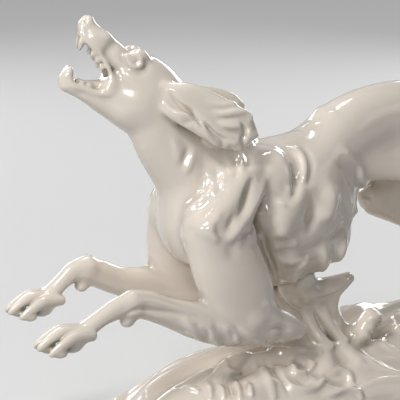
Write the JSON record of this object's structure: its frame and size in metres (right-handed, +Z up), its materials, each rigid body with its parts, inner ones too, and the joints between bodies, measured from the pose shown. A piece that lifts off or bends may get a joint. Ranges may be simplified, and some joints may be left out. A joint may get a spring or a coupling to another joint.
{
  "type": "porcelain borzoi figurine",
  "caption": "White glazed porcelain figurine of a running borzoi with its head thrown up and mouth open, on a rocky oval base, cast in one piece.",
  "frame": {"origin": "middle of the base's flat underside", "axes": "+Z up; the hound faces -X with its tail towards +X, and its left flank faces -Y"},
  "size_m": [0.3934, 0.1189, 0.237],
  "materials": {
    "white_glaze": "high gloss white glaze"
  },
  "bodies": {
    "root": {"borzoi_figurine": "white_glaze"}
  },
  "joints": []
}
